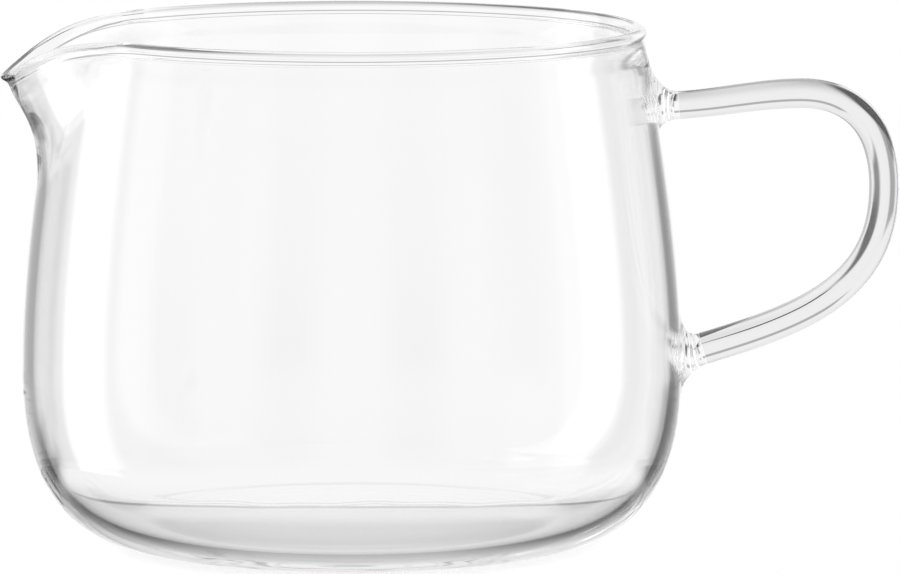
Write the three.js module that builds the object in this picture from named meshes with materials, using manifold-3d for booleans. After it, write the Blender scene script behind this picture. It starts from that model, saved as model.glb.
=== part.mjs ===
// A half-litre glass milk jug: one blown body with a pulled spout, and a bent rod handle welded to it.
// Millimetres and degrees. +Z is up, the spout points along -X and the handle along +X.
// The origin is the centre of the flat base, on the axis of the body.
import * as THREE from 'three';
import { mergeVertices } from 'three/addons/utils/BufferGeometryUtils.js';
import Module from 'manifold-3d';

// Body
const HEIGHT = 82.6;
const BELLY_DIAMETER = 105;
const BELLY_HEIGHT = 27.3;
const BASE_DIAMETER = 61.4;
const WALL = 1.75;
const BASE_THICKNESS = 2.45;
// How far the heel keeps the run of the base, and how far below the belly it turns upright.
const HEEL_RUN = 14.4;
const HEEL_RISE = 18.5;
// How far the wall stays upright above the belly, and how long it keeps its lean below the rim.
const WALL_RISE = 11.2;
const WALL_RUN = 30.8;
const RIM_LEAN = 9.8;

// Fire-polished rim: a round bead, a little thicker than the wall and set a little outwards
const RIM_DIAMETER = 93.6;
const BEAD_DIAMETER = 2.2;
const BEAD_OUTSET = 0.2;
const BEAD_FOOT_ANGLE = 50;

// Spout, pulled out of the rim as two flat cheeks that meet in a keel
const SPOUT_REACH = 9.2;
const SPOUT_DIP = 7.8;
const SPOUT_DEPTH = 11.2;
const SPOUT_WIDTH = 42;
const KEEL_ROUNDING = 1.2;
const CREASE_WIDTH = 1.2;
// Share of the dip over which the lip eases into the level rim.
const DIP_EASING = 0.3;

// Handle: a round rod that leaves the upper weld, rises to a crest, bends down and runs in to the lower weld
const ROD_DIAMETER = 4.75;
const HANDLE_REACH = 34.5;
const CREST_RISE = 2.1;
const BEND_WIDTH = 13.2;
const BEND_DROP = 15;
const UPPER_TILT = 3.4;
const LOWER_TILT = 16.8;
// How long the rod keeps its direction at each end of a stretch, as a share of that stretch.
const UPPER_END_HOLD = 0.37;
const CREST_INNER_HOLD = 0.34;
const CREST_OUTER_HOLD = 0.71;
const OUTERMOST_UPPER_HOLD = 0.58;
const OUTERMOST_LOWER_HOLD = 0.64;
const LOWER_END_HOLD = 0.56;

// Welds: gathers of glass that swell from the rod and spread to a foot on the wall
const UPPER_WELD_BELOW_RIM = 12.9;
const UPPER_WELD_LENGTH = 3.2;
const UPPER_WELD_SWELL = 0.1;
const UPPER_WELD_SPREAD = 3.3;
const UPPER_FOOT_RISE = 2.1;
const LOWER_WELD_ABOVE_BELLY = 2.6;
const LOWER_WELD_LENGTH = 3.2;
const LOWER_WELD_SWELL = 0.4;
const LOWER_WELD_SPREAD = 4.2;
const LOWER_FOOT_RISE = 0.9;
// The joint line between two pieces that are fused on the real jug.
const JOINT_GAP = 0.3;

// Smoothness
const TURN_STEPS = 72;
const HEEL_STEPS = 9;
const WALL_STEPS = 12;
const BEAD_STEPS = 6;
const FLARE_STEPS = 6;
const WELD_SIDES = 24;
const ROD_SIDES = 14;
const ROD_STEPS = 40;

const radians = THREE.MathUtils.degToRad;
const lerp = THREE.MathUtils.lerp;

// The larger of two values, rounded over where they are less than a width apart.
function smoothMax(a, b, width) {
  const overlap = Math.max(width - Math.abs(a - b), 0);
  return Math.max(a, b) + (overlap * overlap) / (4 * width);
}

// The distance from zero, with its sharp turn at zero rounded.
function softAbs(value, rounding) {
  return Math.hypot(value, rounding) - rounding;
}

// Body outline, as half a section: x is the distance from the axis, y the height
const bellyRadius = BELLY_DIAMETER / 2;
const baseRadius = BASE_DIAMETER / 2;
const beadRadius = BEAD_DIAMETER / 2;
const beadCentre = new THREE.Vector2(RIM_DIAMETER / 2 - beadRadius, HEIGHT - beadRadius);
const wallTop = new THREE.Vector2(beadCentre.x - BEAD_OUTSET + WALL / 2, beadCentre.y);
const downWall = new THREE.Vector2(Math.sin(radians(RIM_LEAN)), -Math.cos(radians(RIM_LEAN)));

const heelCurve = new THREE.CubicBezierCurve(
  new THREE.Vector2(baseRadius, 0),
  new THREE.Vector2(baseRadius + HEEL_RUN, 0),
  new THREE.Vector2(bellyRadius, BELLY_HEIGHT - HEEL_RISE),
  new THREE.Vector2(bellyRadius, BELLY_HEIGHT),
);
const wallCurve = new THREE.CubicBezierCurve(
  new THREE.Vector2(bellyRadius, BELLY_HEIGHT),
  new THREE.Vector2(bellyRadius, BELLY_HEIGHT + WALL_RISE),
  wallTop.clone().addScaledVector(downWall, WALL_RUN),
  wallTop,
);

// A station on the outside of the glass: where it is, which way is out, and how thick the glass is.
function station(curve, share, thickness) {
  const along = curve.getTangentAt(share);
  return { point: curve.getPointAt(share), out: new THREE.Vector2(along.y, -along.x), thickness };
}

function outsideStations() {
  const stations = [];
  for (let i = 0; i < HEEL_STEPS; i++) {
    const share = i / HEEL_STEPS;
    stations.push(station(heelCurve, share, lerp(BASE_THICKNESS, WALL, share)));
  }
  for (let i = 0; i < WALL_STEPS; i++) {
    stations.push(station(wallCurve, i / WALL_STEPS, WALL));
  }
  return stations;
}

// The bead's outside, from its outer foot over the top, and on to its inner foot or only to the top.
function beadPoints(radius, endAngle) {
  const points = [];
  for (let i = 0; i <= BEAD_STEPS; i++) {
    const angle = radians(lerp(-BEAD_FOOT_ANGLE, endAngle, i / BEAD_STEPS));
    points.push(new THREE.Vector2(Math.cos(angle), Math.sin(angle)).multiplyScalar(radius).add(beadCentre));
  }
  return points;
}

const stations = outsideStations();

function bodyProfile() {
  const outside = stations.map(({ point }) => point);
  const inside = stations.map(({ point, out, thickness }) => point.clone().addScaledVector(out, -thickness));
  return [
    new THREE.Vector2(0, 0),
    ...outside,
    ...beadPoints(beadRadius, 180 + BEAD_FOOT_ANGLE),
    ...inside.reverse(),
    new THREE.Vector2(0, BASE_THICKNESS),
  ];
}

// The body's outside as a full block, grown by the joint gap, which the welds are cut back to.
function grownProfile() {
  const outside = stations.map(({ point, out }) => point.clone().addScaledVector(out, JOINT_GAP));
  return [
    new THREE.Vector2(0, -JOINT_GAP),
    ...outside,
    ...beadPoints(beadRadius + JOINT_GAP, 90),
    new THREE.Vector2(0, HEIGHT + JOINT_GAP),
  ];
}

// Radius of the outside of the wall at a height, along its lean above the last station.
function wallRadius(height) {
  for (let i = 1; i < stations.length; i++) {
    const below = stations[i - 1].point;
    const above = stations[i].point;
    if (height <= above.y) {
      return lerp(below.x, above.x, (height - below.y) / (above.y - below.y));
    }
  }
  return wallTop.x + ((wallTop.y - height) * downWall.x) / -downWall.y;
}

// A closed geometry with shared vertices and no triangles that shrink to a line at the poles.
function closed(geometry) {
  geometry.deleteAttribute('normal');
  geometry.deleteAttribute('uv');
  const merged = mergeVertices(geometry);
  const corners = merged.index.array;
  const kept = [];
  for (let i = 0; i < corners.length; i += 3) {
    const [a, b, c] = corners.slice(i, i + 3);
    if (a !== b && b !== c && c !== a) {
      kept.push(a, b, c);
    }
  }
  merged.setIndex(kept);
  return merged;
}

// A turned solid, upright on the Z axis.
function turned(profile, sides) {
  return closed(new THREE.LatheGeometry(profile, sides).rotateX(Math.PI / 2));
}

const wasm = await Module();
wasm.setup();

function toSolid(geometry) {
  const vertProperties = Float32Array.from(geometry.attributes.position.array);
  const triVerts = Uint32Array.from(geometry.index.array);
  return new wasm.Manifold(new wasm.Mesh({ numProp: 3, vertProperties, triVerts }));
}

function toGeometry(solid) {
  const mesh = solid.getMesh();
  const geometry = new THREE.BufferGeometry();
  geometry.setAttribute('position', new THREE.BufferAttribute(Float32Array.from(mesh.vertProperties), 3));
  geometry.setIndex(new THREE.BufferAttribute(Uint32Array.from(mesh.triVerts), 1));
  return geometry;
}

// Spout: the rim dips towards the tip, and the wall above the crease follows two slanted cheeks
const spoutHalfWidth = SPOUT_WIDTH / 2;
const spoutFade = spoutHalfWidth * (1 + DIP_EASING);
const tipX = wallTop.x + SPOUT_REACH;
const tipZ = HEIGHT - SPOUT_DIP;
const creaseZ = tipZ - SPOUT_DEPTH;
const keelSlope = (tipX - wallRadius(creaseZ)) / SPOUT_DEPTH;
const rimEdgeX = Math.sqrt(wallTop.x ** 2 - spoutHalfWidth ** 2);
const cheekSlope = (tipX + keelSlope * SPOUT_DIP - rimEdgeX) / spoutHalfWidth;

function pullSpout(geometry) {
  const position = geometry.attributes.position;
  for (let i = 0; i < position.count; i++) {
    const x = position.getX(i);
    const y = position.getY(i);
    const z = position.getZ(i);
    const aside = softAbs(y, KEEL_ROUNDING);
    if (x > 0 || z < BELLY_HEIGHT || aside > spoutFade) {
      continue;
    }
    const climb = smoothMax((z - creaseZ) / (HEIGHT - creaseZ), 0, DIP_EASING);
    const dip = SPOUT_DIP * smoothMax(1 - aside / spoutHalfWidth, 0, DIP_EASING) * climb;
    const wallX = (height) => Math.sqrt(wallRadius(height) ** 2 - y ** 2);
    const cheekX = tipX - cheekSlope * aside + keelSlope * (z - dip - tipZ);
    const push = smoothMax(wallX(z - dip), cheekX, CREASE_WIDTH) - wallX(z);
    const hold = 1 - THREE.MathUtils.smoothstep(aside, spoutHalfWidth, spoutFade);
    position.setXYZ(i, x - push * hold, y, z - dip);
  }
  return geometry;
}

function blownBody() {
  return pullSpout(turned(bodyProfile(), TURN_STEPS));
}

// Where the rod is welded on: the spot on the wall, the way the rod leaves it, and the weld's sizes.
function weldSeat(height, tilt, length, swell, spread, rise) {
  const along = new THREE.Vector3(Math.cos(radians(tilt)), 0, Math.sin(radians(tilt)));
  const up = new THREE.Vector3(-along.z, 0, along.x);
  const wall = new THREE.Vector3(wallRadius(height), 0, height);
  const upWall = new THREE.Vector3(wallRadius(height + WALL) - wall.x, 0, WALL);
  return { wall, along, up, footSlope: upWall.dot(along) / upWall.dot(up), length, swell, spread, rise };
}

const upperSeat = weldSeat(
  HEIGHT - UPPER_WELD_BELOW_RIM,
  UPPER_TILT,
  UPPER_WELD_LENGTH,
  UPPER_WELD_SWELL,
  UPPER_WELD_SPREAD,
  UPPER_FOOT_RISE,
);
const lowerSeat = weldSeat(
  BELLY_HEIGHT + LOWER_WELD_ABOVE_BELLY,
  LOWER_TILT,
  LOWER_WELD_LENGTH,
  LOWER_WELD_SWELL,
  LOWER_WELD_SPREAD,
  LOWER_FOOT_RISE,
);

const rodRadius = ROD_DIAMETER / 2;
const grownBody = toSolid(turned(grownProfile(), TURN_STEPS));

// A gather, turned about the rod's line: a hollow flare from its tip to its foot. The foot is tipped to
// lie along the wall, shifted up by the rise, run on into the body and cut back to the wall.
function weldGather({ wall, along, up, footSlope, length, swell, spread, rise }) {
  const tipRadius = rodRadius + swell / 2;
  const footRadius = tipRadius + spread;
  const face = JOINT_GAP + length;
  const profile = [new THREE.Vector2(0, -footRadius), new THREE.Vector2(footRadius, -footRadius)];
  for (let i = 0; i <= FLARE_STEPS; i++) {
    const turn = (i / FLARE_STEPS) * (Math.PI / 2);
    profile.push(new THREE.Vector2(footRadius - spread * Math.sin(turn), face * (1 - Math.cos(turn))));
  }
  profile.push(new THREE.Vector2(0, face));
  const flare = closed(new THREE.LatheGeometry(profile, WELD_SIDES));
  const position = flare.attributes.position;
  for (let i = 0; i < position.count; i++) {
    const nearFoot = 1 - THREE.MathUtils.smoothstep(position.getY(i), 0, face);
    const raised = position.getX(i) + rise * nearFoot;
    position.setX(i, raised);
    position.setY(i, position.getY(i) + footSlope * raised * nearFoot);
  }
  const across = new THREE.Vector3().crossVectors(up, along);
  flare.applyMatrix4(new THREE.Matrix4().makeBasis(up, along, across).setPosition(wall));
  return toGeometry(toSolid(flare).subtract(grownBody));
}

// The rod's end, a joint gap beyond the weld's face.
function rodEnd({ wall, along, length }) {
  return wall.clone().addScaledVector(along, JOINT_GAP + length + JOINT_GAP);
}

// Handle's centre line: to the crest, round the bend to the outermost point, and in to the lower weld
function handlePath() {
  const start = rodEnd(upperSeat);
  const end = rodEnd(lowerSeat);
  const outermostX = bellyRadius + HANDLE_REACH - rodRadius;
  const crest = new THREE.Vector3(outermostX - BEND_WIDTH, 0, upperSeat.wall.z + CREST_RISE);
  const outermost = new THREE.Vector3(outermostX, 0, crest.z - BEND_DROP);
  const out = new THREE.Vector3(1, 0, 0);
  const down = new THREE.Vector3(0, 0, -1);
  const upperRun = crest.x - start.x;
  const lowerDrop = outermost.z - end.z;
  const lowerRun = outermost.x - end.x;
  const path = new THREE.CurvePath();
  path.add(new THREE.CubicBezierCurve3(
    start,
    start.clone().addScaledVector(upperSeat.along, UPPER_END_HOLD * upperRun),
    crest.clone().addScaledVector(out, -CREST_INNER_HOLD * upperRun),
    crest,
  ));
  path.add(new THREE.CubicBezierCurve3(
    crest,
    crest.clone().addScaledVector(out, CREST_OUTER_HOLD * BEND_WIDTH),
    outermost.clone().addScaledVector(down, -OUTERMOST_UPPER_HOLD * BEND_DROP),
    outermost,
  ));
  path.add(new THREE.CubicBezierCurve3(
    outermost,
    outermost.clone().addScaledVector(down, OUTERMOST_LOWER_HOLD * lowerDrop),
    end.clone().addScaledVector(lowerSeat.along, LOWER_END_HOLD * lowerRun),
    end,
  ));
  return path;
}

function handleRod() {
  const section = new THREE.Shape().absarc(0, 0, rodRadius, 0, 2 * Math.PI);
  const options = { steps: ROD_STEPS, curveSegments: ROD_SIDES / 2, extrudePath: handlePath() };
  return closed(new THREE.ExtrudeGeometry(section, options));
}

const CLEAR_GLASS = { color: 0xf3f5f5, roughness: 0.03, metalness: 0, transparent: true, opacity: 0.35 };

function piece(name, geometry) {
  geometry.computeVertexNormals();
  const mesh = new THREE.Mesh(geometry, new THREE.MeshStandardMaterial(CLEAR_GLASS));
  mesh.name = name;
  return mesh;
}

const jug = new THREE.Group();
jug.add(piece('blown_body', blownBody()));
jug.add(piece('handle_rod', handleRod()));
jug.add(piece('upper_weld', weldGather(upperSeat)));
jug.add(piece('lower_weld', weldGather(lowerSeat)));

export default jug;
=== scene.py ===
# A half-litre glass milk jug in soft studio light: a blown body with a pulled spout, and a bent rod handle
# that two gathers of glass weld to it. Each is a fine mesh that stands for the frame's solid of its name.
# Sizes are in millimetres and degrees. +Z is up, the spout points along -X and the handle along +X.
import bisect
import math

import bmesh
import bpy
from mathutils import Matrix, Vector
from mathutils.geometry import interpolate_bezier


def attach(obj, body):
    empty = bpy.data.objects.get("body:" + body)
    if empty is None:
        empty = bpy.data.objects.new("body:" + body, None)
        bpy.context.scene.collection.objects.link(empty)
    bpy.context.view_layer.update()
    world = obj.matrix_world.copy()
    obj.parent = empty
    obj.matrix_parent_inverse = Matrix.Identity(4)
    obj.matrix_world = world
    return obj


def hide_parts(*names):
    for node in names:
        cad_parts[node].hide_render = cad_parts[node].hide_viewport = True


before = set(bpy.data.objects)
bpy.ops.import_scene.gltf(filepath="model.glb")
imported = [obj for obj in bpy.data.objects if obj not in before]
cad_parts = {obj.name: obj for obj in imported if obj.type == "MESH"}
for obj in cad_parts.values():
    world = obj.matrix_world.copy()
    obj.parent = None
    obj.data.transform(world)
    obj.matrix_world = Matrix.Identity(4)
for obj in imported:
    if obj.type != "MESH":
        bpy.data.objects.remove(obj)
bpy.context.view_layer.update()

MM = 0.001

# Body
HEIGHT = 82.6
BELLY_DIAMETER = 105
BELLY_HEIGHT = 27.3
BASE_DIAMETER = 61.4
WALL = 1.75
BASE_THICKNESS = 2.45
HEEL_RUN = 14.4
HEEL_RISE = 18.5
WALL_RISE = 11.2
WALL_RUN = 30.8
RIM_LEAN = 9.8

# Fire-polished rim: a round bead on a slight neck
RIM_DIAMETER = 93.6
BEAD_DIAMETER = 2.2
BEAD_OUTSET = 0.2
BEAD_FOOT_ANGLE = 42
NECK_BELOW_RIM = 4.5
NECK_HOLD = 0.5

# Spout, pulled out of the rim as two cheeks that meet in a keel
SPOUT_REACH = 9.2
SPOUT_DIP = 7.8
SPOUT_DEPTH = 11.2
SPOUT_WIDTH = 42
KEEL_ROUNDING = 4
DIP_EASING = 0.3
# The cheeks bulge: they leave the keel at this slope and steepen to the rim.
CHEEK_START_SLOPE = 0.6
# The crease where the spout leaves the wall is tight under the keel and at the rim, and soft between them.
CREASE_WIDTH = 4
CREASE_SOFTENING = 1
# Pulling thins the glass of the spout by this share, but not its lip, which is this deep.
SPOUT_THINNING = 0.5
LIP_DEPTH = 9

# The inside of the base is a little higher towards the back, with a wavering edge: how far back and how high
TERRACE_BACK = 12
TERRACE_HEIGHT = 0.2
TERRACE_SLOPE = 2.5
TERRACE_WAVER = 1.2
# The edge's two waves, in radians along each millimetre, and where the long one starts
TERRACE_LONG_WAVE = 0.2
TERRACE_SHORT_WAVE = 0.55
TERRACE_START = 0.5
BASE_DEPTH = 8

# Handle
ROD_DIAMETER = 4.75
HANDLE_REACH = 34.5
CREST_RISE = 2.1
BEND_WIDTH = 13.2
BEND_DROP = 15
UPPER_TILT = 3.4
LOWER_TILT = 16.8
UPPER_END_HOLD = 0.37
CREST_INNER_HOLD = 0.34
CREST_OUTER_HOLD = 0.71
OUTERMOST_UPPER_HOLD = 0.58
OUTERMOST_LOWER_HOLD = 0.64
LOWER_END_HOLD = 0.56
# The rod was stretched a little at its upper end and pushed up thicker at its lower one.
UPPER_ROD_SHARE = 0.94
LOWER_ROD_SHARE = 1.08

# Welds
UPPER_WELD_BELOW_RIM = 12.9
LOWER_WELD_ABOVE_BELLY = 2.6
WELD_LENGTH = 3.5
WELD_SEAM = 0.06
# How far each weld's foot spreads beyond the rod, above it and below it
UPPER_WELD_SPREAD = (5.5, 1.6)
LOWER_WELD_SPREAD = (4.2, 3.8)

# Fineness of the meshes
TURN_STEPS = 320
COLUMN_GATHER = 0.6
BASE_RINGS = 36
HEEL_POINTS = 40
WALL_POINTS = 60
NECK_POINTS = 8
BEAD_POINTS = 25
ROD_SIDES = 16
ROD_STEPS = 40
WELD_SIDES = 72
WELD_RINGS = 14
MERGE_DISTANCE = 0.001
SHARP_ANGLE = 50


# Adds a node. Inputs are values, or sockets of other nodes that link to it; settings are its own properties.
def add_node(tree, kind, inputs, **settings):
    made = tree.nodes.new(kind)
    for name, value in settings.items():
        setattr(made, name, value)
    for name, value in inputs.items():
        if isinstance(value, bpy.types.NodeSocket):
            tree.links.new(value, made.inputs[name])
        else:
            made.inputs[name].default_value = value
    return made


# An sRGB hex colour as linear red, green, blue and alpha.
def linear(hex_colour):
    channels = [int(hex_colour[i:i + 2], 16) / 255 for i in (0, 2, 4)]
    return [c / 12.92 if c <= 0.04045 else ((c + 0.055) / 1.055) ** 2.4 for c in channels] + [1]


def lerp(a, b, share):
    return a + (b - a) * share


def smoothstep(value, low, high):
    share = min(max((value - low) / (high - low), 0), 1)
    return share * share * (3 - 2 * share)


# The larger of two values, rounded over where they are less than a width apart.
def smooth_max(a, b, width):
    overlap = max(width - abs(a - b), 0)
    return max(a, b) + overlap * overlap / (4 * width)


# Body outline, as half a section: x is the distance from the axis, y the height
belly_radius = BELLY_DIAMETER / 2
base_radius = BASE_DIAMETER / 2
bead_radius = BEAD_DIAMETER / 2
bead_centre = Vector((RIM_DIAMETER / 2 - bead_radius, HEIGHT - bead_radius))
wall_top = Vector((bead_centre.x - BEAD_OUTSET + WALL / 2, bead_centre.y))
down_wall = Vector((math.sin(math.radians(RIM_LEAN)), -math.cos(math.radians(RIM_LEAN))))

heel_line = interpolate_bezier(
    Vector((base_radius, 0)),
    Vector((base_radius + HEEL_RUN, 0)),
    Vector((belly_radius, BELLY_HEIGHT - HEEL_RISE)),
    Vector((belly_radius, BELLY_HEIGHT)),
    HEEL_POINTS,
)
wall_line = interpolate_bezier(
    Vector((belly_radius, BELLY_HEIGHT)),
    Vector((belly_radius, BELLY_HEIGHT + WALL_RISE)),
    wall_top + WALL_RUN * down_wall,
    wall_top,
    WALL_POINTS,
)
outline = heel_line + wall_line[1:]
outline_heights = [point.y for point in outline]


# Radius of the outside of the wall at a height, along its lean above the rim.
def wall_radius(height):
    above = min(max(bisect.bisect_left(outline_heights, height), 1), len(outline) - 1)
    low, high = outline[above - 1], outline[above]
    return lerp(low.x, high.x, (height - low.y) / (high.y - low.y))


# The inside of the glass beside a point of the outline: thick at the base, and even from the belly up.
def inside_point(i):
    along = (outline[min(i + 1, len(outline) - 1)] - outline[max(i - 1, 0)]).normalized()
    thickness = lerp(BASE_THICKNESS, WALL, min(i / (HEEL_POINTS - 1), 1))
    return outline[i] - thickness * Vector((along.y, -along.x))


# The neck from the wall's last point to the bead's foot, which turns with the bead.
def neck(start, along, foot, along_bead):
    leave, arrive = start + NECK_HOLD * along, foot - NECK_HOLD * along_bead
    return interpolate_bezier(start, leave, arrive, foot, NECK_POINTS)[1:-1]


def body_profile():
    last = bisect.bisect_left(outline_heights, HEIGHT - NECK_BELOW_RIM)
    outside = outline[:last]
    inside = [inside_point(i) for i in range(last)]
    bead = []
    for i in range(BEAD_POINTS):
        angle = math.radians(lerp(-BEAD_FOOT_ANGLE, 180 + BEAD_FOOT_ANGLE, i / (BEAD_POINTS - 1)))
        bead.append(bead_centre + bead_radius * Vector((math.cos(angle), math.sin(angle))))
    out_of_neck = Vector((math.sin(math.radians(BEAD_FOOT_ANGLE)), math.cos(math.radians(BEAD_FOOT_ANGLE))))
    into_neck = Vector((-out_of_neck.x, out_of_neck.y))
    outer_neck = neck(outside[-1], -down_wall, bead[0], out_of_neck)
    inner_neck = neck(inside[-1], -down_wall, bead[-1], into_neck)
    base_middle = Vector((0, BASE_THICKNESS))
    inner_base = [lerp(inside[0], base_middle, (i + 1) / BASE_RINGS) for i in range(BASE_RINGS)]
    return [Vector((0, 0))] + outside + outer_neck + bead + inner_neck[::-1] + inside[::-1] + inner_base


# Spout: the rim dips towards the tip, and the wall above the crease follows two slanted cheeks
spout_half_width = SPOUT_WIDTH / 2
spout_fade = spout_half_width * (1 + DIP_EASING)
tip_x = wall_top.x + SPOUT_REACH
tip_z = HEIGHT - SPOUT_DIP
crease_z = tip_z - SPOUT_DEPTH
keel_slope = (tip_x - wall_radius(crease_z)) / SPOUT_DEPTH
rim_edge_x = math.sqrt(wall_top.x ** 2 - spout_half_width ** 2)
cheek_depth = tip_x + keel_slope * SPOUT_DIP - rim_edge_x
cheek_bulge = (cheek_depth / spout_half_width - CHEEK_START_SLOPE) / spout_half_width


def pull_spout(place):
    x, y, z = place
    aside = math.hypot(y, KEEL_ROUNDING) - KEEL_ROUNDING
    if x > 0 or z < BELLY_HEIGHT or aside > spout_fade:
        return place
    climb = smooth_max((z - crease_z) / (HEIGHT - crease_z), 0, DIP_EASING)
    dip = SPOUT_DIP * smooth_max(1 - aside / spout_half_width, 0, DIP_EASING) * climb
    dipped_wall_x = math.sqrt(wall_radius(z - dip) ** 2 - y ** 2)
    cheek_x = tip_x - (CHEEK_START_SLOPE + cheek_bulge * aside) * aside + keel_slope * (z - dip - tip_z)
    crease = CREASE_WIDTH + CREASE_SOFTENING * aside * max(1 - aside / spout_half_width, 0)
    push = smooth_max(dipped_wall_x, cheek_x, crease) - math.sqrt(wall_radius(z) ** 2 - y ** 2)
    hold = 1 - smoothstep(aside, spout_half_width, spout_fade)
    inwards = wall_radius(z) - math.hypot(x, y)
    below_lip = smoothstep(HEIGHT - z, BEAD_DIAMETER, LIP_DEPTH)
    thinning = SPOUT_THINNING * inwards * smoothstep(push, 0, SPOUT_REACH) * below_lip
    return Vector((x - (push + thinning) * hold, y, z - dip))


# A turned solid: a half section, spun round the Z axis and closed at its poles.
def turned(profile, steps):
    mesh = bmesh.new()
    points = [mesh.verts.new((point.x, 0, point.y)) for point in profile]
    lines = [mesh.edges.new(pair) for pair in zip(points, points[1:])]
    bmesh.ops.spin(
        mesh,
        geom=points + lines,
        cent=(0, 0, 0),
        axis=(0, 0, 1),
        angle=math.tau,
        steps=steps,
        use_merge=True,
    )
    bmesh.ops.remove_doubles(mesh, verts=mesh.verts, dist=MERGE_DISTANCE)
    return mesh


# A piece of the jug from a mesh in millimetres: it rides on the jug and stands for the node of its name.
def jug_piece(name, mesh, material):
    bmesh.ops.recalc_face_normals(mesh, faces=mesh.faces)
    if mesh.calc_volume(signed=True) < 0:
        bmesh.ops.reverse_faces(mesh, faces=mesh.faces)
    bmesh.ops.scale(mesh, vec=(MM, MM, MM), verts=mesh.verts)
    for face in mesh.faces:
        face.smooth = True
    data = bpy.data.meshes.new(name)
    mesh.to_mesh(data)
    mesh.free()
    data.set_sharp_from_angle(angle=math.radians(SHARP_ANGLE))
    data.materials.append(material)
    piece = bpy.data.objects.new(name + "_glass", data)
    bpy.context.scene.collection.objects.link(piece)
    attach(piece, "root")
    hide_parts(name)
    return piece


# How far the terrace lifts a spot of the inner base.
def terrace(x, y):
    long_wave = math.sin(TERRACE_LONG_WAVE * x + TERRACE_START)
    short_wave = math.sin(TERRACE_SHORT_WAVE * x)
    edge = TERRACE_BACK + TERRACE_WAVER * (long_wave + short_wave / 2)
    return TERRACE_HEIGHT * smoothstep(y, edge, edge + TERRACE_SLOPE)


def blown_body(material):
    mesh = turned(body_profile(), TURN_STEPS)
    for vert in mesh.verts:
        from_spout = math.atan2(vert.co.y, -vert.co.x)
        turn = Matrix.Rotation(COLUMN_GATHER * math.sin(2 * from_spout) / 2, 3, "Z")
        vert.co = pull_spout(turn @ vert.co)
        inwards = wall_radius(vert.co.z) - math.hypot(vert.co.x, vert.co.y)
        if vert.co.z < BASE_DEPTH and inwards > WALL / 2:
            vert.co.z += terrace(vert.co.x, vert.co.y)
    return jug_piece("blown_body", mesh, material)


# Where the rod is welded on: the spot on the wall, and the rod's directions there.
class Seat:
    def __init__(self, height, tilt):
        self.along = Vector((math.cos(math.radians(tilt)), 0, math.sin(math.radians(tilt))))
        self.up = Vector((-self.along.z, 0, self.along.x))
        self.wall = Vector((wall_radius(height), 0, height))
        self.rod_end = self.wall + (WELD_SEAM + WELD_LENGTH + WELD_SEAM) * self.along


upper_seat = Seat(HEIGHT - UPPER_WELD_BELOW_RIM, UPPER_TILT)
lower_seat = Seat(BELLY_HEIGHT + LOWER_WELD_ABOVE_BELLY, LOWER_TILT)
rod_radius = ROD_DIAMETER / 2


# A gather of glass, turned about the rod's line with a fillet 1 mm wide, which then widens to its spread. Its
# foot lies on the wall and spreads more above than below.
def weld_gather(name, seat, tip_radius, spread_up, spread_down, material):
    profile = [Vector((tip_radius * i / WELD_RINGS, 0)) for i in range(WELD_RINGS)]
    for i in range(WELD_RINGS + 1):
        turn = i / WELD_RINGS * math.pi / 2
        profile.append(Vector((tip_radius + 1 - math.sin(turn), WELD_LENGTH * (1 - math.cos(turn)))))
    profile.append(Vector((0, WELD_LENGTH)))
    mesh = turned(profile, WELD_SIDES)
    for vert in mesh.verts:
        s = vert.co.z
        radius = math.hypot(vert.co.x, vert.co.y)
        turn = math.atan2(vert.co.y, vert.co.x)
        spread = lerp(spread_down, spread_up, (1 + math.cos(turn)) / 2)
        if s < MERGE_DISTANCE:
            radius *= (tip_radius + spread) / (tip_radius + 1)
        elif radius > tip_radius:
            radius = tip_radius + (radius - tip_radius) * spread
        up, across = radius * math.cos(turn), radius * math.sin(turn)
        height = seat.wall.z + up
        on_wall = Vector((math.sqrt(wall_radius(height) ** 2 - across ** 2) + WELD_SEAM, across, height))
        straight = seat.wall + WELD_SEAM * seat.along + up * seat.up + Vector((0, across, 0))
        vert.co = on_wall.lerp(straight, smoothstep(s, 0, WELD_LENGTH)) + s * seat.along
    return jug_piece(name, mesh, material)


# The rod's centre line, knot by knot: each has its place, between the controls before and after it, and the
# share of the rod's thickness there.
def handle_knots():
    start, end = upper_seat.rod_end, lower_seat.rod_end
    outermost_x = belly_radius + HANDLE_REACH - rod_radius
    crest = Vector((outermost_x - BEND_WIDTH, 0, upper_seat.wall.z + CREST_RISE))
    outermost = Vector((outermost_x, 0, crest.z - BEND_DROP))
    out, down = Vector((1, 0, 0)), Vector((0, 0, -1))
    upper_run = crest.x - start.x
    lower_drop, lower_run = outermost.z - end.z, outermost.x - end.x
    from_start = UPPER_END_HOLD * upper_run * upper_seat.along
    to_end = LOWER_END_HOLD * lower_run * lower_seat.along
    return [
        (start - from_start, start, start + from_start, UPPER_ROD_SHARE),
        (crest - CREST_INNER_HOLD * upper_run * out, crest, crest + CREST_OUTER_HOLD * BEND_WIDTH * out, 1),
        (
            outermost - OUTERMOST_UPPER_HOLD * BEND_DROP * down,
            outermost,
            outermost + OUTERMOST_LOWER_HOLD * lower_drop * down,
            1,
        ),
        (end + to_end, end, end - to_end, LOWER_ROD_SHARE),
    ]


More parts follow.
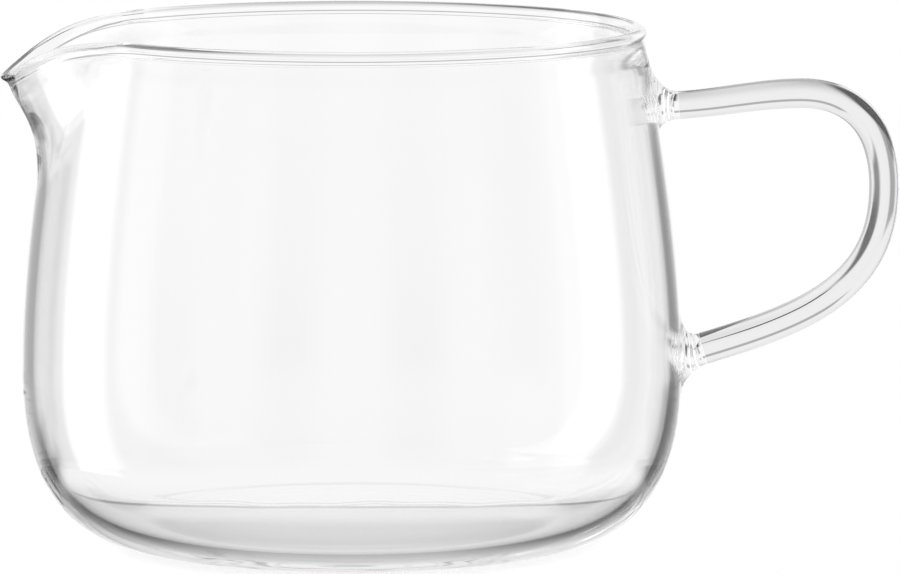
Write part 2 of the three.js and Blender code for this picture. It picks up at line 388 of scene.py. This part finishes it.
def handle_rod(material):
    line = bpy.data.curves.new("handle_line", "CURVE")
    line.dimensions = "3D"
    line.bevel_depth = rod_radius
    line.bevel_resolution = ROD_SIDES
    line.resolution_u = ROD_STEPS
    line.use_fill_caps = True
    knots = handle_knots()
    spline = line.splines.new("BEZIER")
    spline.radius_interpolation = "EASE"
    spline.bezier_points.add(len(knots) - 1)
    for knot, (before, place, after, share) in zip(spline.bezier_points, knots):
        knot.handle_left_type = knot.handle_right_type = "FREE"
        knot.handle_left, knot.co, knot.handle_right = before, place, after
        knot.radius = share
    bent = bpy.data.objects.new("handle_line", line)
    mesh = bmesh.new()
    mesh.from_mesh(bent.to_mesh())
    bpy.data.objects.remove(bent)
    bpy.data.curves.remove(line)
    bmesh.ops.remove_doubles(mesh, verts=mesh.verts, dist=MERGE_DISTANCE)
    return jug_piece("handle_rod", mesh, material)


BOROSILICATE_IOR = 1.473


# Clear borosilicate glass. Where it was blown or worked in the flame it is faintly uneven, so that lines seen
# through it waver; the wave is the distance from swell to swell, and the depth is that of the unevenness.
def clear_glass(name, colour, wave, depth):
    material = bpy.data.materials.new(name)
    material.use_nodes = True
    tree = material.node_tree
    place = add_node(tree, "ShaderNodeTexCoord", {}).outputs["Object"]
    swells = add_node(tree, "ShaderNodeTexNoise", {"Vector": place, "Scale": 1 / (wave * MM), "Detail": 1.5})
    swell = {"Height": swells.outputs["Fac"], "Distance": depth * MM, "Strength": 1}
    bump = add_node(tree, "ShaderNodeBump", swell)
    glass = tree.nodes["Principled BSDF"]
    glass.inputs["Base Color"].default_value = linear(colour)
    glass.inputs["Transmission Weight"].default_value = 1
    glass.inputs["Roughness"].default_value = 0
    glass.inputs["IOR"].default_value = BOROSILICATE_IOR
    tree.links.new(bump.outputs["Normal"], glass.inputs["Normal"])
    return material


blown_body(clear_glass("blown_borosilicate_glass", "fdfdfd", wave=28, depth=0.01))
handle_rod(clear_glass("drawn_borosilicate_rod", "f0f0f0", wave=12, depth=0.005))
weld_glass = clear_glass("flame_welded_glass", "fcfcfc", wave=3, depth=0.008)
weld_gather("upper_weld", upper_seat, rod_radius * UPPER_ROD_SHARE, *UPPER_WELD_SPREAD, weld_glass)
weld_gather("lower_weld", lower_seat, rod_radius * LOWER_ROD_SHARE, *LOWER_WELD_SPREAD, weld_glass)


# Studio: panels and flags round the jug, by direction. Azimuth 0 is straight behind it, + is to the right.
# Each has its middle, half its width and how soft its sides are, the same for its height, and its brightness.
# A later one stands in front of those before it.
ROOM_BRIGHTNESS = 0.9
STUDIO_PANELS = {
    "far_left_flag": (-114, 10, 7, -10, 14, 7, 0.55),
    "front_left_flag": (-157, 10, 7, -10, 14, 7, 0.58),
    "front_right_flag": (157, 10, 7, -10, 14, 7, 0.58),
    "backdrop": (0, 30, 2, 0, 90, 2, 0.985),
    "left_rear_fill": (-38, 10, 3, 0, 90, 3, 0.95),
    "left_flag": (-23, 10, 3, -9, 7.5, 1.5, 0.42),
    "left_gap": (-53, 7, 3, 0, 90, 3, 0.5),
    "right_rear_fill": (38, 10, 3, 0, 90, 3, 0.9),
    "right_flag": (22.5, 9, 4, -9, 7.5, 1.5, 0.3),
    "right_gap": (64, 18, 5, 0, 90, 5, 0.62),
    "right_side": (112, 12, 4, 0, 90, 4, 0.98),
    "left_softbox": (-72, 12, 2, 0, 55, 2, 2.1),
    "right_softbox": (91, 9, 2, 0, 55, 2, 1.35),
    "backdrop_foot": (-5, 13, 9, -62, 39, 16, 0.58),
    "low_right_flag": (24, 12, 3, -14, 6, 3, 0.15),
    "low_left_flag": (-27, 21, 4, -54, 37.5, 2, 0.05),
    "left_foot_flag": (-31, 8, 3, -15, 3, 1.5, 0.25),
    "table_shade": (0, 40, 10, -78, 32, 8, 0.42),
    "backdrop_head": (0, 14, 1, 13, 3.5, 1.5, 0.45),
    "table_edge": (7.9, 2.8, 0.3, -17.8, 1.3, 0.4, 0.03),
}


# Setting of a node that eases one value into another
EASED = {"interpolation_type": "SMOOTHSTEP"}


def studio_world():
    world = bpy.data.worlds.new("studio")
    bpy.context.scene.world = world
    world.use_nodes = True
    tree = world.node_tree
    tree.nodes.clear()
    ray = add_node(tree, "ShaderNodeTexCoord", {}).outputs["Generated"]
    level = add_node(tree, "ShaderNodeVectorMath", {0: ray, 1: (1, 1, 0)}, operation="MULTIPLY").outputs[0]
    heading = add_node(tree, "ShaderNodeVectorMath", {0: level}, operation="NORMALIZE").outputs[0]
    rise = add_node(tree, "ShaderNodeSeparateXYZ", {0: ray}).outputs["Z"]
    elevation = add_node(tree, "ShaderNodeMath", {0: rise}, operation="ARCSINE").outputs[0]
    brightness = ROOM_BRIGHTNESS
    for azimuth, half_width, side_edge, middle, half_height, top_edge, strength in STUDIO_PANELS.values():
        facing = (math.sin(math.radians(azimuth)), math.cos(math.radians(azimuth)), 0)
        turned_to = {0: heading, 1: facing}
        cosine = add_node(tree, "ShaderNodeVectorMath", turned_to, operation="DOT_PRODUCT").outputs["Value"]
        aside = add_node(tree, "ShaderNodeMath", {0: cosine}, operation="ARCCOSINE").outputs[0]
        raised = {0: elevation, 1: math.radians(middle)}
        above = add_node(tree, "ShaderNodeMath", raised, operation="SUBTRACT").outputs[0]
        away = add_node(tree, "ShaderNodeMath", {0: above}, operation="ABSOLUTE").outputs[0]
        cover = 1
        for angle, half, edge in ((aside, half_width, side_edge), (away, half_height, top_edge)):
            edges = {
                "Value": angle,
                "From Min": math.radians(half - edge),
                "From Max": math.radians(half + edge),
                "To Min": cover,
                "To Max": 0,
            }
            cover = add_node(tree, "ShaderNodeMapRange", edges, **EASED).outputs["Result"]
        covered = {"Factor": cover, "A": brightness, "B": strength}
        brightness = add_node(tree, "ShaderNodeMix", covered).outputs["Result"]
    studio = add_node(tree, "ShaderNodeBackground", {"Color": brightness}).outputs[0]
    white = add_node(tree, "ShaderNodeBackground", {"Color": linear("ffffff")}).outputs[0]
    seen = add_node(tree, "ShaderNodeLightPath", {}).outputs["Is Camera Ray"]
    shown = add_node(tree, "ShaderNodeMixShader", {0: seen, 1: studio, 2: white}).outputs[0]
    add_node(tree, "ShaderNodeOutputWorld", {"Surface": shown})


# Floor: a small round pale table top. The camera sees it as white with the jug's shadow on it. The glass
# sees it glow, evenly bright behind the jug, with painted shade: dark round the front and sides of the jug's
# heel, outside an oval spot that reaches far back; dimmer under and in front of the jug; and a dark painted
# line, which wavers, along the back edge of that dimmer part.
FLOOR_RADIUS = 76
FLOOR_MIDDLE = (0, 5)
FLOOR_SIDES = 128
FLOOR_GAP = 0.02
FLOOR_CAMERA_LIFT = 0.6
TABLE_BRIGHTNESS = 0.97
# Painted shade in what the glass sees: dimmer under and in front of the jug, darker round the heel, and a
# dark wavering painted line along the back of the dimmer part
SHADED_FRONT_BRIGHTNESS = 0.85
FRONT_SHADE = 0.46
SIDE_SHADE = 0.1
SHADE_SIDES = (10, 40)
PAINTED_SHADE_BACK = 12.5
PAINTED_LINE_WIDTH = 2.6
PAINTED_LINE_BRIGHTNESS = 0.3
PAINTED_LINE_WAVE = 18
PAINTED_LINE_WAVER = 3
SPOT_MIDDLE = (0, 60)
SPOT_REACH = (66, 105)
SPOT_FADE = (0.88, 0.96)
SHADE_REACH = (52, 66)


def pale_floor():
    # A white board; what the glass sees of it carries painted shade
    material = bpy.data.materials.new("white_board_with_painted_shade")
    material.use_nodes = True
    tree = material.node_tree
    path = add_node(tree, "ShaderNodeLightPath", {}).outputs
    place = add_node(tree, "ShaderNodeTexCoord", {}).outputs["Object"]
    middle = [value * MM for value in SPOT_MIDDLE] + [0]
    share = [1 / (value * MM) for value in SPOT_REACH] + [0]
    offset = {0: place, 1: middle}
    from_middle = add_node(tree, "ShaderNodeVectorMath", offset, operation="SUBTRACT").outputs[0]
    shares = {0: from_middle, 1: share}
    scaled = add_node(tree, "ShaderNodeVectorMath", shares, operation="MULTIPLY").outputs[0]
    out = add_node(tree, "ShaderNodeVectorMath", {0: scaled}, operation="LENGTH").outputs["Value"]
    waves = {"Vector": place, "Scale": 1 / (PAINTED_LINE_WAVE * MM), "Detail": 1}
    wave = add_node(tree, "ShaderNodeTexNoise", waves)
    shift = {0: wave.outputs["Fac"], 1: PAINTED_LINE_WAVER * MM, 2: -PAINTED_LINE_WAVER * MM / 2}
    waver = add_node(tree, "ShaderNodeMath", shift, operation="MULTIPLY_ADD").outputs[0]
    axes = add_node(tree, "ShaderNodeSeparateXYZ", {0: place}).outputs
    back = axes["Y"]
    depth = add_node(tree, "ShaderNodeMath", {0: back, 1: waver}, operation="ADD").outputs[0]
    # Painted shade: dimmer in front of the back line, a dark painted line along that line, and the even table
    # behind it
    lit = SHADED_FRONT_BRIGHTNESS
    for step, level in ((-0.5, PAINTED_LINE_BRIGHTNESS), (0.5, TABLE_BRIGHTNESS)):
        border = PAINTED_SHADE_BACK + step * PAINTED_LINE_WIDTH
        crossing = {
            "Value": depth,
            "From Min": (border - PAINTED_LINE_WIDTH / 3) * MM,
            "From Max": (border + PAINTED_LINE_WIDTH / 3) * MM,
            "To Min": lit,
            "To Max": level,
        }
        lit = add_node(tree, "ShaderNodeMapRange", crossing, **EASED).outputs["Result"]
    # Painted shade round the front of the heel, darkest towards its sides, outside the oval spot and inside
    # the shade's reach
    side = add_node(tree, "ShaderNodeMath", {0: axes["X"]}, operation="ABSOLUTE").outputs[0]
    sides = {
        "Value": side,
        "From Min": SHADE_SIDES[0] * MM,
        "From Max": SHADE_SIDES[1] * MM,
        "To Min": FRONT_SHADE,
        "To Max": SIDE_SHADE,
    }
    shade = add_node(tree, "ShaderNodeMapRange", sides, **EASED).outputs["Result"]
    fade = {
        "Value": out,
        "From Min": SPOT_FADE[0],
        "From Max": SPOT_FADE[1],
        "To Min": lit,
        "To Max": shade,
    }
    even = add_node(tree, "ShaderNodeMapRange", fade, **EASED).outputs["Result"]
    from_axis = add_node(tree, "ShaderNodeVectorMath", {0: place}, operation="LENGTH").outputs["Value"]
    beyond = {
        "Value": from_axis,
        "From Min": SHADE_REACH[0] * MM,
        "From Max": SHADE_REACH[1] * MM,
        "To Min": even,
        "To Max": SHADED_FRONT_BRIGHTNESS,
    }
    shaded = add_node(tree, "ShaderNodeMapRange", beyond, **EASED).outputs["Result"]
    behind = {"Value": back, "From Min": 0, "From Max": PAINTED_SHADE_BACK * MM, "To Min": shaded, "To Max": even}
    table = add_node(tree, "ShaderNodeMapRange", behind).outputs["Result"]
    # The glass and its reflections see the floor glow with this painted shade; the camera and diffuse light
    # see the board
    in_glass = add_node(tree, "ShaderNodeEmission", {"Color": linear("ffffff"), "Strength": table}).outputs[0]
    lifted = {0: path["Is Camera Ray"], 1: FLOOR_CAMERA_LIFT}
    lift = add_node(tree, "ShaderNodeMath", lifted, operation="MULTIPLY").outputs[0]
    board = tree.nodes["Principled BSDF"]
    board.inputs["Base Color"].default_value = linear("eeeeee")
    board.inputs["Roughness"].default_value = 0.9
    board.inputs["Specular IOR Level"].default_value = 0
    board.inputs["Emission Color"].default_value = linear("ffffff")
    tree.links.new(lift, board.inputs["Emission Strength"])
    rays = {0: path["Is Transmission Ray"], 1: path["Is Glossy Ray"]}
    through = add_node(tree, "ShaderNodeMath", rays, operation="MAXIMUM").outputs[0]
    shown = add_node(tree, "ShaderNodeMixShader", {0: through, 1: board.outputs[0], 2: in_glass}).outputs[0]
    tree.links.new(shown, tree.nodes["Material Output"].inputs["Surface"])
    mesh = bmesh.new()
    bmesh.ops.create_circle(mesh, cap_ends=True, segments=FLOOR_SIDES, radius=FLOOR_RADIUS * MM)
    bmesh.ops.translate(mesh, vec=Vector((*FLOOR_MIDDLE, -FLOOR_GAP)) * MM, verts=mesh.verts)
    data = bpy.data.meshes.new("floor")
    mesh.to_mesh(data)
    mesh.free()
    data.materials.append(material)
    floor = bpy.data.objects.new("floor", data)
    bpy.context.scene.collection.objects.link(floor)


# Camera: the photograph's view, level from side to side and looking a little down at the jug.
CAMERA_PLACE = (15.6, -1300, 198.8)
CAMERA_PITCH = 6.93
CAMERA_LENS = 328.9
CAMERA_SENSOR = 36


def photo_camera():
    view = bpy.data.cameras.new("photo_view")
    view.sensor_width = CAMERA_SENSOR
    view.lens = CAMERA_LENS
    camera = bpy.data.objects.new("photo_view", view)
    camera.location = Vector(CAMERA_PLACE) * MM
    camera.rotation_euler = (math.radians(90 - CAMERA_PITCH), 0, 0)
    bpy.context.scene.collection.objects.link(camera)
    bpy.context.scene.camera = camera


studio_world()
pale_floor()
photo_camera()

scene = bpy.context.scene
scene.view_settings.view_transform = "Standard"
# Enough bounces for light that runs along inside the wall and the rod
GLASS_BOUNCES = 160
scene.cycles.max_bounces = GLASS_BOUNCES
scene.cycles.transmission_bounces = GLASS_BOUNCES
scene.cycles.glossy_bounces = GLASS_BOUNCES
